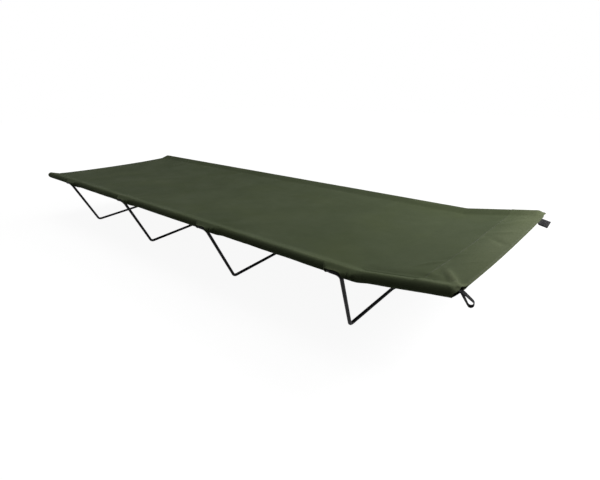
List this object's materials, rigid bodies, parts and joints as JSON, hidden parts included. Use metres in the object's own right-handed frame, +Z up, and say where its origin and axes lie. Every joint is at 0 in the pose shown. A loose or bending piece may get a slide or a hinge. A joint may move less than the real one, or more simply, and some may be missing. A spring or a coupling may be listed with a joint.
{
  "type": "camping cot",
  "caption": "Low camping cot with a dark olive cloth bed on two sectional side poles, folding W-shaped rod legs, and a head end that bends up.",
  "frame": {"origin": "on the floor, under the middle of the overall length and width", "axes": "+X towards the raised head end, +Y towards the far pole, +Z up"},
  "size_m": [1.93, 0.6536, 0.2407],
  "materials": {
    "black_steel_tube": "satin black powder coat",
    "black_steel_rod": "semi-gloss black powder coat",
    "zinc_plated_steel": "dull zinc plate",
    "rivet_steel": "bare steel",
    "black_plastic": "moulded, fine grain",
    "black_webbing": "woven tape",
    "olive_cloth": "coated woven polyester, dark olive"
  },
  "bodies": {
    "frame_and_cover": {"near_pole_foot": "black_steel_tube", "near_pole_middle": "black_steel_tube", "near_pole_head": "black_steel_tube", "far_pole_foot": "black_steel_tube", "far_pole_middle": "black_steel_tube", "far_pole_head": "black_steel_tube", "near_foot_joint_spigot": "zinc_plated_steel", "near_foot_joint_rivet": "rivet_steel", "near_head_joint_spigot": "zinc_plated_steel", "near_head_joint_rivet": "rivet_steel", "far_foot_joint_spigot": "zinc_plated_steel", "far_foot_joint_rivet": "rivet_steel", "far_head_joint_spigot": "zinc_plated_steel", "far_head_joint_rivet": "rivet_steel", "near_foot_plug": "black_plastic", "near_head_plug": "black_plastic", "far_foot_plug": "black_plastic", "far_head_plug": "black_plastic", "cover_panel": "olive_cloth", "near_sleeve": "olive_cloth", "far_sleeve": "olive_cloth", "foot_hem": "olive_cloth", "head_hem": "olive_cloth", "near_loop": "black_webbing", "far_loop": "black_webbing"},
    "leg_1": {"leg_1_rod": "black_steel_rod", "leg_1_near_cap": "black_plastic", "leg_1_far_cap": "black_plastic"},
    "leg_2": {"leg_2_rod": "black_steel_rod", "leg_2_near_cap": "black_plastic", "leg_2_far_cap": "black_plastic"},
    "leg_3": {"leg_3_rod": "black_steel_rod", "leg_3_near_cap": "black_plastic", "leg_3_far_cap": "black_plastic"},
    "leg_4": {"leg_4_rod": "black_steel_rod", "leg_4_near_cap": "black_plastic", "leg_4_far_cap": "black_plastic"}
  },
  "joints": [
    {"name": "leg_1_hinge", "type": "hinge", "parent": "frame_and_cover", "child": "leg_1", "pos_m": [-0.729, 0, 0.198], "axis": [0, 1, 0], "range_deg": [0, 77]},
    {"name": "leg_2_hinge", "type": "hinge", "parent": "frame_and_cover", "child": "leg_2", "pos_m": [-0.285, 0, 0.198], "axis": [0, 1, 0], "range_deg": [0, 80]},
    {"name": "leg_3_hinge", "type": "hinge", "parent": "frame_and_cover", "child": "leg_3", "pos_m": [0.189, 0, 0.198], "axis": [0, 1, 0], "range_deg": [0, 88]},
    {"name": "leg_4_hinge", "type": "hinge", "parent": "frame_and_cover", "child": "leg_4", "pos_m": [0.66, 0, 0.198], "axis": [0, 1, 0], "range_deg": [0, 82]}
  ]
}
